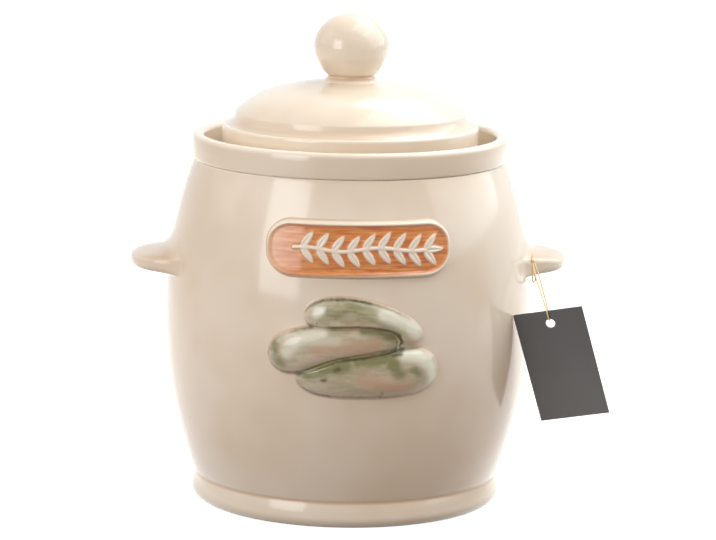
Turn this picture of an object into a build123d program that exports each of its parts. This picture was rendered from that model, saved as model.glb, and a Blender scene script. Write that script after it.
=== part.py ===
from build123d import *
import math
import os

# Glazed ceramic pickling crock with a water seal, two ear handles, a domed lid,
# a pair of weight stones and a paper swing tag on a string.
# All lengths are in millimetres and all angles in degrees.
# The origin is the centre of the foot, +Z is up, -Y is the front with the label.

# Barrel: its side is one arc, widest at the belly
belly_radius = 105.0
belly_height = 106.5
belly_arc_radius = 247.0
wall = 7.0
inner_floor_height = 10.5
inner_floor_round = 10.0
shoulder_round = 12.0

# Foot: a swollen band with a groove above it, and a ring to stand on
groove_height = 14.6
groove_depth = 0.4
foot_swell = 2.0
foot_swell_height = 6.5
foot_swell_share = 0.29
foot_undercut = 4.4
foot_ring_width = 12.0
foot_recess_depth = 2.5
foot_recess_round = 2.0
groove_width = 5.8

# Water channel round the mouth
channel_floor_height = 190.0
channel_floor_thickness = 7.0
channel_width = 17.0
shoulder_step = 5.5
neck_wall = 6.0
neck_rise = 17.5
neck_round_share = 0.4
collar_wall = 6.3
collar_overhang = 0.9
collar_rise = 14.5
collar_bulge = 0.5
collar_lip_round_share = 0.44
collar_foot_round = 1.3

# Lid: a dome of two tangent arcs, a hollow flare, and a skirt that stands in the channel
lid_wall = 5.0
skirt_clearance = 2.0
skirt_round_share = 0.3
seat_gap = 0.3
brim_rise = 7.4
brim_round = 1.6
lid_corner_drop = 8.8
flare_width = 7.2
flare_rise = 6.9
flare_hollow_share = 0.24
dome_crown_radius = 186.0
dome_side_radius = 49.7
dome_edge_slope = 46.2
gas_notch_width = 9.0
gas_notch_height = 6.0
gas_notch_round_share = 0.45

# Knob: a ball on a short neck
knob_radius = 21.3
knob_crown = 19.4
knob_lower_depth = 17.8
knob_lower_share = 0.745
knob_side_share = 0.94
knob_side_drop_share = 0.36
knob_neck_radius = 13.1
knob_neck_rise = 2.8
knob_throat = 3.1
knob_flare = 3.2

# Ears: flattened lugs, thick at the barrel and thin at the rim
ear_drop = 56.9
ear_stand_out = 21.8
ear_half_width = 37.5
ear_root_sink = 2.0
ear_root_rise = 4.8
ear_root_drop = 6.5
ear_rim_rise = 3.5
ear_rim_drop = 6.2
ear_rim_share = 0.80
ear_blend = 2.0
ear_seam_slack = 0.05

# Label plate: a raised frame round a lower field
label_drop = 36.3
label_width = 98.8
label_rise_height = 29.4
label_corner_share = 0.9
label_frame_width = 2.2
label_frame_raise = 3.0
label_field_raise = 1.6

# Cucumbers: mounds that follow the barrel, with heights counted from a level below the label
relief_drop = 53.2
station_shares = (0.03, 0.12, 0.28, 0.5, 0.72, 0.88, 0.97)
station_step_share = 0.01
cucumber_sink = 0.8
upper_start_angle, upper_end_angle = -16.6, 19.8
upper_start_rise, upper_end_rise = 16.8, 1.6
upper_bow = 5.2
upper_half_width = 11.2
upper_relief = 6.2
upper_fat_shares = (0.42, 0.75, 0.95, 1.0, 0.95, 0.76, 0.42)
middle_start_angle, middle_end_angle = -27.6, 12.6
middle_start_rise, middle_end_rise = -8.0, 3.3
middle_bow = 4.2
middle_half_width = 12.2
middle_relief = 7.6
middle_fat_shares = (0.46, 0.88, 0.99, 0.80, 0.70, 0.54, 0.32)
lower_start_angle, lower_end_angle = -19.4, 24.8
lower_start_rise, lower_end_rise = -17.2, -12.4
lower_bow = -0.4
lower_half_width = 13.4
lower_relief = 7.0
lower_fat_shares = (0.36, 0.70, 0.88, 0.97, 1.0, 0.86, 0.50)

# Weight stones: two half discs that press the food under the brine
stone_clearance = 8.1
stone_thickness = 16.0
stone_gap = 0.6
stone_finger_radius = 15.0
stone_edge_round = 2.5

# Swing tag: a card leaning on the belly, hung on a thin cord from the right ear
card_width = 40.0
card_length = 68.0
card_thickness = 0.7
card_angle = -25.1
card_standoff = 25.4
card_drop = 51.6
card_lean, card_tilt, card_turn = 17.0, -12.0, -17.0
card_hole_radius = 2.6
card_hole_rise = 26.2
cord_diameter = 0.8
knot_radius = 1.6
run_share = 0.45

# The cord's route round the ear, from the knot over the top and back from below
knot_centre = (101.5, -41.2, 143.0)
ear_cord_route = [
    (101.6, -40.3, 143.1),
    (103.4, -24.0, 143.9),
    (106.2, -2.0, 143.8),
    (104.8, 22.0, 144.0),
    (100.6, 42.2, 143.0),
    (100.2, 42.6, 130.2),
    (105.4, 22.0, 128.6),
    (107.8, -1.0, 128.2),
    (105.6, -23.0, 128.8),
    (101.2, -41.9, 130.0),
    (101.4, -41.3, 142.2),
]

# The cord's route down to the card, through its hole and up again behind it
tag_cord_route = [
    (101.2, -42.4, 141.9),
    (102.4, -47.6, 135.2),
    (105.2, -56.2, 126.4),
    (107.2, -63.6, 119.2),
    (108.9, -62.6, 112.9),
    (109.9, -59.5, 113.9),
    (108.6, -56.0, 119.0),
    (106.4, -50.4, 128.4),
    (104.2, -44.6, 137.6),
    (102.3, -42.1, 141.8),
]

overrun = 20.0


def barrel_radius(height, raised=0.0):
    """Radius of the barrel's side at a height, or of a face raised above it."""
    arc = belly_arc_radius + raised
    return belly_radius - belly_arc_radius + math.sqrt(arc**2 - (height - belly_height) ** 2)


# Heights and radii that follow from the barrel's side, from the foot up to the lid
groove_radius = barrel_radius(groove_height) - groove_depth
foot_radius = groove_radius + foot_swell
foot_base_radius = foot_radius - foot_undercut
inner_floor_radius = barrel_radius(inner_floor_height, -wall)
shoulder_height = channel_floor_height + shoulder_step
collar_outer_radius = barrel_radius(shoulder_height) + collar_overhang
collar_inner_radius = collar_outer_radius - collar_wall
collar_top_height = shoulder_height + collar_rise
neck_outer_radius = collar_inner_radius - channel_width
mouth_radius = neck_outer_radius - neck_wall
neck_top_height = channel_floor_height + neck_rise
skirt_inner_radius = neck_outer_radius + skirt_clearance
skirt_radius = skirt_inner_radius + lid_wall
skirt_bottom = channel_floor_height + seat_gap
brim_height = neck_top_height + brim_rise
dome_edge_radius = skirt_radius - flare_width
ear_height = shoulder_height - ear_drop
ear_root_offset = math.sqrt(barrel_radius(ear_height) ** 2 - ear_half_width**2) - ear_root_sink
ear_reach = barrel_radius(ear_height) + ear_stand_out - ear_root_offset
label_height = shoulder_height - label_drop
label_corner = label_rise_height / 2 * label_corner_share
relief_height = label_height - relief_drop
card_height = ear_height - card_drop
card_offset = barrel_radius(card_height) + card_standoff


def side_arc(low, high, raised=0.0):
    """The barrel's side in section, from one height to another."""
    middle = (low + high) / 2
    return ThreePointArc(
        (barrel_radius(low, raised), low),
        (barrel_radius(middle, raised), middle),
        (barrel_radius(high, raised), high),
    )


def turned(section):
    """A section in the XZ plane turned into a solid round the vertical axis."""
    return revolve(section, Axis.Z)


def nearest(vertices, point):
    """The vertex of a section nearest to a point of the XZ plane."""
    return vertices.sort_by_distance(Vector(point[0], 0, point[1]))[0]


def foot_lines():
    """Outer outline of the foot, from the ring it stands on to the start of the barrel's arc."""
    start = groove_height + groove_width / 2
    flare = (foot_radius - foot_base_radius) * foot_swell_share
    swell = ThreePointArc(
        (foot_base_radius, 0),
        (foot_radius - flare, foot_swell_height * foot_swell_share),
        (foot_radius, foot_swell_height),
    )
    waist = ThreePointArc(
        (foot_radius, foot_swell_height),
        ((foot_radius * 2 + groove_radius) / 3, (foot_swell_height + groove_height) / 2),
        (groove_radius, groove_height),
    )
    rise = Line((groove_radius, groove_height), (barrel_radius(start), start))
    return [swell, waist, rise], start


def barrel_outside():
    """The barrel's outer body as one solid, used to seat what is fixed to it."""
    lines, start = foot_lines()
    lines += [side_arc(start, shoulder_height)]
    lines += [Line((barrel_radius(shoulder_height), shoulder_height), (0, shoulder_height))]
    lines += [Line((0, shoulder_height), (0, 0)), Line((0, 0), (foot_base_radius, 0))]
    return turned(Plane.XZ * make_face(lines))


def crock_barrel():
    lines, start = foot_lines()
    recess_radius = foot_base_radius - foot_ring_width
    ceiling = channel_floor_height - channel_floor_thickness
    corner = barrel_radius(ceiling, -wall)
    outline = [
        (barrel_radius(shoulder_height), shoulder_height),
        (collar_inner_radius, shoulder_height),
        (collar_inner_radius, channel_floor_height),
        (mouth_radius, channel_floor_height),
        (mouth_radius, ceiling),
        (corner, ceiling),
    ]
    lines += [side_arc(start, shoulder_height)]
    lines += [Line(a, b) for a, b in zip(outline, outline[1:])]
    lines += [side_arc(inner_floor_height, ceiling, -wall)]
    outline = [
        (inner_floor_radius, inner_floor_height),
        (0, inner_floor_height),
        (0, foot_recess_depth),
        (recess_radius - foot_recess_round, foot_recess_depth),
        (recess_radius, 0),
        (foot_base_radius, 0),
    ]
    lines += [Line(a, b) for a, b in zip(outline, outline[1:])]
    section = Plane.XZ * make_face(lines)
    section = fillet(nearest(section.vertices(), (corner, ceiling)), shoulder_round)
    section = fillet(nearest(section.vertices(), (inner_floor_radius, inner_floor_height)), inner_floor_round)
    return turned(section)


def ring_section(inner, outer, low, high, bulge):
    """Section of a ring wall whose outer side swells a little."""
    lines = [
        Line((inner, low), (inner, high)),
        Line((inner, high), (outer, high)),
        ThreePointArc((outer, high), (outer + bulge, (low + high) / 2), (outer, low)),
        Line((outer, low), (inner, low)),
    ]
    return Plane.XZ * make_face(lines)


def water_collar():
    section = ring_section(
        collar_inner_radius, collar_outer_radius, shoulder_height, collar_top_height, collar_bulge
    )
    for corner in (collar_inner_radius, collar_outer_radius):
        lip = nearest(section.vertices(), (corner, collar_top_height))
        section = fillet(lip, collar_wall * collar_lip_round_share)
    foot = (collar_outer_radius, shoulder_height)
    section = fillet(nearest(section.vertices(), foot), collar_foot_round)
    return turned(section)


def mouth_neck():
    outer = neck_outer_radius
    lines = [
        Line((mouth_radius, channel_floor_height), (mouth_radius, neck_top_height)),
        Line((mouth_radius, neck_top_height), (outer, neck_top_height)),
        Line((outer, neck_top_height), (outer, channel_floor_height)),
        Line((outer, channel_floor_height), (mouth_radius, channel_floor_height)),
    ]
    section = Plane.XZ * make_face(lines)
    for corner in (mouth_radius, outer):
        section = fillet(nearest(section.vertices(), (corner, neck_top_height)), neck_wall * neck_round_share)
    return turned(section)


def dome_arcs(thickness):
    """The dome's crown and side arcs in section, moved in by a thickness.

    The side arc ends at the dome's edge with a named slope, and the crown arc touches it.
    """
    crown = dome_crown_radius - thickness
    side = dome_side_radius - thickness
    end = math.radians(dome_edge_slope)
    side_x = dome_edge_radius - dome_side_radius * math.sin(end)
    side_z = brim_height + flare_rise - dome_side_radius * math.cos(end)
    slope = math.asin(side_x / (dome_crown_radius - dome_side_radius))
    crown_z = side_z - (dome_crown_radius - dome_side_radius) * math.cos(slope)
    start = math.asin((knob_neck_radius + knob_flare) / crown)

    def on_crown(angle):
        return (crown * math.sin(angle), crown_z + crown * math.cos(angle))

    def on_side(angle):
        return (side_x + side * math.sin(angle), side_z + side * math.cos(angle))

    return [
        ThreePointArc(on_crown(start), on_crown((start + slope) / 2), on_crown(slope)),
        ThreePointArc(on_side(slope), on_side((slope + end) / 2), on_side(end)),
    ]


def lid_shell():
    outer = dome_arcs(0)
    inner = dome_arcs(lid_wall)
    corner = (skirt_inner_radius, brim_height - lid_corner_drop)
    seat = outer[0] @ 0
    edge = outer[1] @ 1
    brim = Vector(skirt_radius, brim_height)
    across = brim - edge
    hollow = edge + across * 0.5 - Vector(-across.Y, across.X) * flare_hollow_share
    top = inner[0] @ 0
    lines = outer + inner + [
        ThreePointArc(edge, hollow, brim),
        Line(brim, (skirt_radius, skirt_bottom)),
        Line((skirt_radius, skirt_bottom), (skirt_inner_radius, skirt_bottom)),
        Line((skirt_inner_radius, skirt_bottom), corner),
        Line(corner, inner[1] @ 1),
        Line(top, (0, top.Y)),
        Line((0, top.Y), (0, seat.Y)),
        Line((0, seat.Y), seat),
    ]
    section = Plane.XZ * make_face(lines)
    section = fillet(nearest(section.vertices(), (skirt_radius, brim_height)), brim_round)
    for foot in (skirt_inner_radius, skirt_radius):
        section = fillet(nearest(section.vertices(), (foot, skirt_bottom)), lid_wall * skirt_round_share)
    shell = turned(section)
    notch = Box(gas_notch_width, skirt_radius * 2 + overrun, gas_notch_height * 2)
    notch = fillet(notch.edges().filter_by(Axis.Y), gas_notch_width * gas_notch_round_share)
    return shell - Pos(0, 0, skirt_bottom) * notch


def lid_knob():
    seat = dome_arcs(0)[0] @ 0
    diagonal = math.sqrt(0.5)
    neck = Vector(knob_neck_radius, seat.Y + knob_neck_rise)
    belly = Vector(knob_radius, neck.Y + knob_throat + knob_lower_depth * knob_lower_share)
    top = belly + Vector(-knob_radius, knob_crown)
    on_crown = belly + Vector(knob_radius * (diagonal - 1), knob_crown * diagonal)
    low = belly + Vector(knob_radius * (knob_lower_share - 1), -knob_lower_depth * knob_lower_share)
    on_lower = belly + Vector(knob_radius * (knob_side_share - 1), -knob_lower_depth * knob_side_drop_share)
    lines = [
        Spline(belly, on_crown, top, tangents=[(0, 1), (-1, 0)]),
        Line(top, (0, seat.Y)),
        Line((0, seat.Y), seat),
        Spline(seat, neck, low, on_lower, belly),
    ]
    return turned(Plane.XZ * make_face(lines))


def on_side(edge):
    """Whether an edge lies on the barrel's side all along."""
    points = (edge @ 0, edge @ 0.5, edge @ 1)
    return all(abs(math.hypot(p.X, p.Y) - barrel_radius(p.Z)) < ear_seam_slack for p in points)


def ear_handle(side, outside):
    """A lug turned as a lens, widened along the barrel and blended into its side."""
    rim = ear_reach * ear_rim_share
    lines = [
        Spline((0, ear_root_rise), (rim * 0.5, (ear_root_rise + ear_rim_rise) / 2), (rim, ear_rim_rise)),
        ThreePointArc(
            (rim, ear_rim_rise),
            (ear_reach, (ear_rim_rise - ear_rim_drop) / 2),
            (rim, -ear_rim_drop),
        ),
        Line((rim, -ear_rim_drop), (0, -ear_root_drop)),
        Line((0, -ear_root_drop), (0, ear_root_rise)),
    ]
    lug = turned(Plane.XZ * make_face(lines))
    lug = scale(lug, by=(1, ear_half_width / ear_reach, 1))
    lug = Pos(ear_root_offset, 0, ear_height) * lug
    joined = outside + lug
    near = joined.edges().filter_by(lambda edge: edge.center().X > ear_root_offset - ear_blend)
    seam = near.filter_by(on_side)
    lug = fillet(seam, ear_blend) - outside
    return lug if side > 0 else mirror(lug, Plane.YZ)


def pill(inset):
    """The label's outline, drawn in by an inset and run through the barrel's front."""
    outline = RectangleRounded(
        label_width - inset * 2, label_rise_height - inset * 2, label_corner - inset
    )
    return extrude(Plane.XZ * Pos(0, label_height) * outline, belly_radius + overrun)


def raised_band(raised):
    """The barrel's side raised by a little over the label's heights."""
    low = label_height - label_rise_height
    high = label_height + label_rise_height
    lines = [
        side_arc(low, high, raised),
        Line((barrel_radius(high, raised), high), (0, high)),
        Line((0, high), (0, low)),
        Line((0, low), (barrel_radius(low, raised), low)),
    ]
    return turned(Plane.XZ * make_face(lines))


def label_frame(outside):
    frame = pill(0) & raised_band(label_frame_raise)
    return frame - pill(label_frame_width) - outside


def label_field(outside):
    field = pill(label_frame_width) & raised_band(label_field_raise)
    return field - outside


def cucumber(angles, rises, bow, half_width, relief, fat_shares):
    """A mound lofted along the barrel's side between two angles and two rises over its level."""

    def place(share):
        angle = math.radians(angles[0] + (angles[1] - angles[0]) * share)
        rise = rises[0] + (rises[1] - rises[0]) * share + bow * 4 * share * (1 - share)
        height = relief_height + rise
        radius = barrel_radius(height) - cucumber_sink
        return Vector(radius * math.sin(angle), -radius * math.cos(angle), height)

    step = station_step_share
    sections = [Vertex(*place(0))]
    for share, fat in zip(station_shares, fat_shares):
        centre = place(share)
        along = place(share + step) - place(share - step)
        out = Vector(centre.X, centre.Y, 0)
        plane = Plane(origin=centre, x_dir=out, z_dir=along)
        sections.append(plane * Ellipse(relief * fat, half_width * fat))
    sections.append(Vertex(*place(1)))
    return loft(sections)


def cucumbers(outside):
    """Three mounds: the middle one lies over the others, each cut to its neighbours."""
    upper = cucumber(
        (upper_start_angle, upper_end_angle),
        (upper_start_rise, upper_end_rise),
        upper_bow,
        upper_half_width,
        upper_relief,
        upper_fat_shares,
    )
    middle = cucumber(
        (middle_start_angle, middle_end_angle),
        (middle_start_rise, middle_end_rise),
        middle_bow,
        middle_half_width,
        middle_relief,
        middle_fat_shares,
    )
    lower = cucumber(
        (lower_start_angle, lower_end_angle),
        (lower_start_rise, lower_end_rise),
        lower_bow,
        lower_half_width,
        lower_relief,
        lower_fat_shares,
    )
    return {
        "cucumber_upper": upper - middle - lower - outside,
        "cucumber_middle": middle - outside,
        "cucumber_lower": lower - middle - outside,
    }


def weight_stone(side):
    """Half a disc with half a finger hole in its straight edge."""
    stone_radius = inner_floor_radius - stone_clearance
    stone = Cylinder(stone_radius, stone_thickness) - Cylinder(stone_finger_radius, stone_thickness)
    half = Box(stone_radius, stone_radius * 2, stone_thickness)
    stone = stone & Pos(side * (stone_radius + stone_gap) / 2, 0, 0) * half
    rims = stone.edges().group_by(Axis.Z)
    stone = fillet(rims[-1] + rims[0], stone_edge_round)
    return Pos(0, 0, inner_floor_height + seat_gap + stone_thickness / 2) * stone


def card_frame():
    """Where the card lies: its own X runs across it, Z along it and Y through it."""
    place = Rot(0, 0, card_angle) * Pos(card_offset, 0, card_height) * Rot(0, 0, card_turn - card_angle)
    return place * Rot(card_lean, 0, 0) * Rot(0, card_tilt, 0)


def tag_card():
    card = Box(card_width, card_thickness, card_length)
    hole = Rot(90, 0, 0) * Cylinder(card_hole_radius, card_thickness + overrun)
    card -= Pos(0, 0, card_hole_rise) * hole
    return card_frame() * card


def corner_radii(route):
    """The arc at each corner of a route: as large as its two runs allow."""
    points = [Vector(*point) for point in route]
    radii = []
    for before, corner, after in zip(points, points[1:], points[2:]):
        turn = math.radians((corner - before).get_angle(after - corner))
        shorter = min((corner - before).length, (after - corner).length)
        radii.append(run_share * shorter / math.tan(turn / 2))
    return radii


def cord(name, route):
    """A round cord along straight runs joined by tangent arcs."""
    radii = corner_radii(route)
    path = FilletPolyline(*route, radius=radii)
    section = Plane(origin=path @ 0, z_dir=path % 0) * Circle(cord_diameter / 2)
    tube = sweep(section, path=path)
    expected = math.pi * cord_diameter**2 / 4 * path.length
    print(f"{name}: length {path.length:.1f} mm, volume {tube.volume:.2f} of {expected:.2f} mm3")
    print(f"{name}: corner radii", [round(radius, 1) for radius in radii])
    return tube


def tag_knot():
    return Pos(*knot_centre) * Sphere(knot_radius)


def write(name, shape):
    """Write one sub-part as a STEP file and say what it measures."""
    if isinstance(shape, ShapeList):
        shape = Compound(shape)
    export_step(shape, f"parts/{name}.step")
    box = shape.bounding_box()
    print(f"{name}: {len(shape.solids())} solid, {shape.volume:.0f} mm3, {box}")


def main():
    os.makedirs("parts", exist_ok=True)
    outside = barrel_outside()
    pieces = {
        "crock_barrel": crock_barrel(),
        "mouth_neck": mouth_neck(),
        "water_collar": water_collar(),
        "ear_handle_left": ear_handle(-1, outside),
        "ear_handle_right": ear_handle(1, outside),
        "label_frame": label_frame(outside),
        "label_field": label_field(outside),
        "lid_shell": lid_shell(),
        "lid_knob": lid_knob(),
        "weight_stone_left": weight_stone(-1),
        "weight_stone_right": weight_stone(1),
        "tag_card": tag_card(),
        "tag_knot": tag_knot(),
        "ear_cord": cord("ear_cord", ear_cord_route) - tag_knot(),
        "tag_cord": cord("tag_cord", tag_cord_route),
    }
    pieces.update(cucumbers(outside))
    for name, shape in pieces.items():
        write(name, shape)


main()
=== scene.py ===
"""Looks of a glazed pickling crock with a water seal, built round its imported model.

Shapes are worked out in millimetres, and angles in degrees, from the same values as the
model's. A mesh is put into metres when it is made.
"""
import math

import bmesh
import bpy
import numpy as np
from mathutils import Matrix

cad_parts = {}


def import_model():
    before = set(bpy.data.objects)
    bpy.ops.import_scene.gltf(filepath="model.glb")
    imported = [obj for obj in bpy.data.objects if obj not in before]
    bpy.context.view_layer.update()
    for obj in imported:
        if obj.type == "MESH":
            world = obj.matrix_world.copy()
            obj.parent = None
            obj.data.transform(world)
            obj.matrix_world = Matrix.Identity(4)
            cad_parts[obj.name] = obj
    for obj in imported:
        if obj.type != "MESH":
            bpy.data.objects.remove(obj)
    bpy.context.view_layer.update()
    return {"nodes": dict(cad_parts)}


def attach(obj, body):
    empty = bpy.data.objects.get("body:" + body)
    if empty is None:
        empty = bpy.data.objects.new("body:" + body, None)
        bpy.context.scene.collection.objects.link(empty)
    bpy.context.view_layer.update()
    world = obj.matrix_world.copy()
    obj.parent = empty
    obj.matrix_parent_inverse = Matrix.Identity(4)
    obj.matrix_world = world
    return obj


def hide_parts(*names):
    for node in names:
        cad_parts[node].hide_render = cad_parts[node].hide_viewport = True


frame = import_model()
millimetre = 0.001

# Studio, in metres, with the floor's own glow and the fill from all round, in linear light
lamp_aim = 0.13
lamp_distance = 1.6
floor_reach = 6.0
camera_reach = 20.0
floor_glow = 0.85
fill_light = (0.375, 0.29, 0.222, 1.0)

# Lamps: angles from the camera's way and above level, width and height in metres, glow, colour
lamps = {
    "left_window": (-43, 17, (0.76, 0.92), 4.8, (0.97, 0.98, 1.0)),
    "left_side": (-98, 30, (0.9, 1.0), 0.6, (1.0, 0.96, 0.9)),
    "left_bounce": (-64, 36, (1.4, 1.0), 0.5, (1.0, 0.96, 0.9)),
    "right_window": (94, 32, (1.9, 1.4), 2.1, (0.92, 0.97, 1.0)),
    "back_window": (146, 54, (0.8, 0.7), 5.6, (0.96, 0.98, 1.0)),
    "top_window": (75, 66, (1.1, 1.1), 2.5, (0.95, 0.98, 1.0)),
}

# Camera, as fitted to the photograph
camera_place = (-110.0, -1811.8, 452.8)
camera_turn = -3.65
camera_pitch = 10.07
camera_roll = 0.877
camera_lens = 161.45
sensor_width = 36.0

# Barrel and foot
belly_radius = 105.0
belly_height = 106.5
belly_arc_radius = 247.0
wall = 7.0
inner_floor_height = 10.5
inner_floor_round = 10.0
shoulder_round = 12.0
groove_height = 14.6
groove_depth = 0.4
groove_width = 5.8
foot_swell = 2.0
foot_swell_height = 6.5
foot_swell_share = 0.29
foot_undercut = 4.4
foot_ring_width = 12.0
foot_recess_depth = 2.5
foot_recess_round = 2.0

# Water channel
channel_floor_height = 190.0
channel_floor_thickness = 7.0
channel_width = 17.0
shoulder_step = 5.5
neck_wall = 6.0
neck_rise = 17.5
neck_round_share = 0.4
collar_wall = 6.3
collar_overhang = 0.9
collar_rise = 14.5
collar_bulge = 0.5
collar_lip_round_share = 0.44
collar_foot_round = 1.3

# Lid and knob
lid_wall = 5.0
skirt_clearance = 2.0
skirt_round_share = 0.3
seat_gap = 0.3
brim_rise = 7.4
brim_round = 1.6
lid_corner_drop = 8.8
flare_width = 7.2
flare_rise = 6.9
flare_hollow_share = 0.24
dome_crown_radius = 186.0
dome_side_radius = 49.7
dome_edge_slope = 46.2
gas_notch_width = 9.0
gas_notch_height = 6.0
gas_notch_fade = 20.0
gas_notch_softness = 1.2
knob_radius = 21.3
knob_crown = 19.4
knob_lower_depth = 17.8
knob_lower_share = 0.745
knob_side_share = 0.94
knob_side_drop_share = 0.36
knob_neck_radius = 13.1
knob_neck_rise = 2.8
knob_throat = 3.1
knob_flare = 3.2
knob_sunk = 1.6

# Ears
ear_drop = 56.9
ear_stand_out = 21.8
ear_half_width = 37.5
ear_root_sink = 2.0
ear_root_rise = 4.8
ear_root_drop = 6.5
ear_rim_rise = 3.5
ear_rim_drop = 6.2
ear_bluntness = 3.4
ear_upper_melt = 8.0
ear_lower_melt = 2.6
ear_foot_scale = 20.0
ear_foot_share = 0.9
# Painted shade on each ear's upper face: its height over the ear, its spread, the rise at which it is full,
# and its strength
ear_shade_height = 6.0
ear_shade_spread = 4.5
ear_shade_depth = 6.0
ear_shade_share = 0.9
ear_trim = 0.1
ear_fade_start = 9.0
ear_fade_end = 22.5
ear_end_softness = 2.2
ear_softness = 0.7
ear_patch_turn = 29.0
ear_patch_drop = 20.0
ear_patch_rise = 24.0

# Label
label_drop = 36.3
label_width = 98.8
label_rise_height = 29.4
label_corner_share = 0.9
label_frame_width = 2.2
label_frame_raise = 3.0
label_field_raise = 1.6
sprig_length = 70.0
sprig_spacing = 8.4
sprig_pairs = 9
sprig_slant = 54.0
sprig_leaf = (11.0, 3.1)
sprig_stem = 1.25
sprig_stem_edge = 0.5
sprig_swing = 1.0
sprig_wave = 40.0
sprig_raise = 1.1
sprig_softness = 0.28
sprig_paint_gain = 1.5
leaf_edge_share = 0.35
leaf_vein_depth_share = 0.45
leaf_vein_width_share = 0.14
leaf_vein_start_share = 0.05
label_edge_width = 0.6
label_softness = 0.5
label_side_margin = 2.8
label_smear = 1.6
label_paint_margin = 1.1
label_paint_edge = 1.5
# How the orange turns paler towards the label's left end: where that starts, its width and its strength
label_paleness_start = 30.0
label_paleness_width = 20.0
label_paleness_share = 0.6
label_rub_width = 0.9
label_rub_share = 0.2

# Cucumbers: angles, rises over the relief's level, bow, half width, relief, fatness along the length
relief_drop = 53.2
relief_turns = (-31.0, 28.5)
relief_reach = (-34.0, 33.0)
relief_softness = 0.6
relief_paint_softness = 0.7
cucumber_sink = 1.05
cucumber_round_share = 0.75
cucumber_rounds = 3
cucumber_step_share = 0.9
cucumber_press_share = 0.55
cucumber_press_fade = 1.6
brush_width = 1.7
rim_share = 0.25
wash_share = 0.52
green_share = 0.6
station_shares = (0.0, 0.03, 0.12, 0.28, 0.5, 0.72, 0.88, 0.97, 1.0)
cucumbers = {
    "upper": ((-16.6, 19.8), (16.8, 1.6), 5.2, 11.2, 6.2, (0, 0.42, 0.75, 0.95, 1.0, 0.95, 0.76, 0.42, 0)),
    "lower": ((-19.4, 24.8), (-17.2, -12.4), -0.4, 13.4, 7.0, (0, 0.36, 0.7, 0.88, 0.97, 1.0, 0.86, 0.5, 0)),
    "middle": ((-27.6, 12.6), (-8.0, 3.3), 4.2, 12.2, 7.6, (0, 0.46, 0.88, 0.99, 0.8, 0.7, 0.54, 0.32, 0)),
}

# Brush marks on the cucumbers: half width, strength, then points across and up from the relief's level
outline_marks = (
    (3.4, 0.9, (
        (-26.6, 13.7), (-27.6, 18.5), (-25.4, 24.1), (-21.8, 26.2), (-11.7, 27.3), (-1.6, 26.3), (5.2, 24.6),
    )),
    (3.0, 0.4, ((5.2, 24.6), (20.3, 18.7), (25.2, 15.4))),
    (3.4, 0.9, ((-50.0, -5.0), (-46.3, -11.8), (-42.0, -15.0), (-37.0, -15.2))),
    (3.0, 0.6, ((-44.0, 1.0), (-40.6, 3.6), (-35.1, 7.5), (-28.2, 10.8))),
    (3.0, 0.6, ((-13.4, 9.7), (-4.0, 8.8), (5.3, 9.5), (14.0, 7.9), (20.2, 5.4))),
    (3.4, 1.0, ((21.4, 4.2), (21.0, -0.6), (18.6, -3.0), (13.6, -3.6))),
    (3.0, 0.6, ((13.6, -3.6), (4.2, -5.1), (-11.2, -5.8), (-21.2, -6.0))),
    (3.6, 0.9, ((-33.8, -14.4), (-30.6, -20.1), (-24.9, -24.8), (-17.1, -27.0))),
    (3.0, 0.45, ((-17.1, -27.0), (-4.2, -27.4), (9.5, -27.4), (19.9, -27.0))),
)
spots = (
    (1.6, 0.9, ((-12.4, -11.7), (-10.8, -11.2))),
    (1.5, 0.8, ((-19.0, -17.6), (-17.8, -17.2))),
    (1.1, 0.5, ((12.0, -27.0), (12.6, -24.4))),
    (1.4, 0.9, ((18.6, -3.4), (22.2, -3.0))),
)
green_marks = (
    (6.0, 0.5, ((-17.0, 20.0), (-5.0, 20.5), (10.0, 16.5), (22.0, 10.0))),
    (4.0, 0.55, ((-46.4, 1.0), (-44.6, -5.0), (-42.0, -9.6))),
    (2.1, 1.0, ((2.0, 9.6), (12.1, 8.0), (18.6, 6.0))),
    (3.8, 1.0, ((-27.0, -14.0), (-17.1, -11.3), (-7.8, -8.6))),
    (2.4, 0.9, ((-1.1, -6.9), (8.9, -6.2), (16.4, -5.0))),
    (3.2, 1.0, ((17.8, -8.4), (20.8, -14.2))),
    (2.6, 0.6, ((29.1, -11.1), (31.0, -14.0))),
    (2.4, 0.5, ((24.5, 6.2), (28.0, 2.0))),
)
blush_marks = (
    (4.6, 0.9, ((-21.3, -0.1), (-4.6, 0.4), (8.8, 1.7))),
    (5.0, 0.8, ((2.4, -16.7), (12.7, -19.7), (26.7, -21.7))),
    (3.6, 0.5, ((-4.0, 13.0), (6.0, 12.6))),
    (3.0, 0.7, ((27.4, 3.6), (30.0, 0.4))),
)
white_marks = (
    (2.8, 0.9, ((-23.0, 18.6), (-20.6, 20.4))),
    (3.8, 0.9, ((-20.0, 8.0), (-31.6, 4.2), (-38.4, -2.6))),
    (3.2, 0.6, ((-25.0, 4.0), (-12.0, 4.0))),
    (3.6, 1.0, ((12.0, 18.5), (18.9, 15.5), (25.9, 11.7), (30.4, 8.1))),
    (3.8, 1.0, ((24.7, -3.6), (32.6, -5.6), (39.4, -11.0), (41.4, -18.4))),
)

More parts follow.
